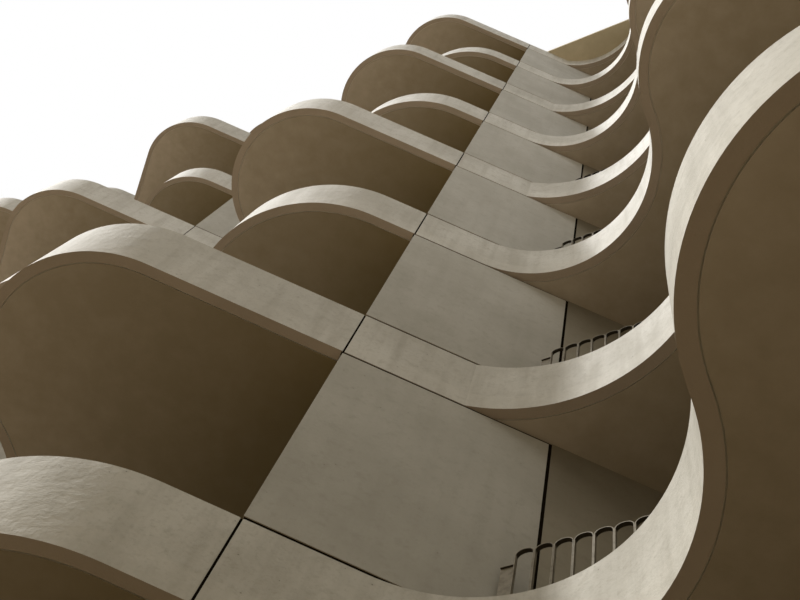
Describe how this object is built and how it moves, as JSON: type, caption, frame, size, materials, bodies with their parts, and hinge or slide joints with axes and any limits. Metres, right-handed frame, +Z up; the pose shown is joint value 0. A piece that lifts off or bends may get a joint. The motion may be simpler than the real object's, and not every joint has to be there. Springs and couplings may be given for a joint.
{
  "type": "apartment block",
  "caption": "Apartment block with a stepped row of rooms, S-curved balcony bands in two outlines that take turns, side wall panels and a flat roof.",
  "frame": {"origin": "on the ground, at the middle of the building's box in plan", "axes": "+Z up, the glazed fronts face -X, the rooms follow each other along Y"},
  "size_m": [25.5, 18.03, 26.66],
  "materials": {
    "band_concrete": "painted cast concrete",
    "panel_concrete": "painted precast concrete",
    "wall_concrete": "painted cast concrete",
    "floor_concrete": "painted cast concrete",
    "roof_concrete": "painted cast concrete",
    "railing_steel": "painted flat bar",
    "frame_aluminium": "powder coated",
    "window_glass": "clear float glass"
  },
  "bodies": {
    "root": {"ground_floor": "floor_concrete", "inner_floor_1": "floor_concrete", "balcony_floor_2": "floor_concrete", "balcony_floor_3": "floor_concrete", "balcony_floor_4": "floor_concrete", "balcony_floor_5": "floor_concrete", "balcony_floor_6": "floor_concrete", "balcony_floor_7": "floor_concrete", "balcony_floor_8": "floor_concrete", "balcony_floor_9": "floor_concrete", "roof_upstands": "wall_concrete", "roof_slab": "roof_concrete", "edge_band_2": "band_concrete", "edge_band_3": "band_concrete", "edge_band_4": "band_concrete", "edge_band_5": "band_concrete", "edge_band_6": "band_concrete", "edge_band_7": "band_concrete", "edge_band_8": "band_concrete", "edge_band_9": "band_concrete", "railing_2": "railing_steel", "railing_3": "railing_steel", "railing_4": "railing_steel", "railing_5": "railing_steel", "railing_6": "railing_steel", "railing_7": "railing_steel", "railing_8": "railing_steel", "cross_wall_1": "wall_concrete", "cross_wall_2": "wall_concrete", "cross_wall_3": "wall_concrete", "cross_wall_4": "wall_concrete", "cross_wall_5": "wall_concrete", "cross_wall_6": "wall_concrete", "corner_panels": "panel_concrete", "inner_panels": "panel_concrete", "rear_wall_1": "wall_concrete", "rear_wall_2": "wall_concrete", "rear_wall_3": "wall_concrete", "rear_wall_4": "wall_concrete", "rear_wall_5": "wall_concrete", "front_frames": "frame_aluminium", "front_glass": "window_glass", "rear_glass": "window_glass"}
  },
  "joints": []
}
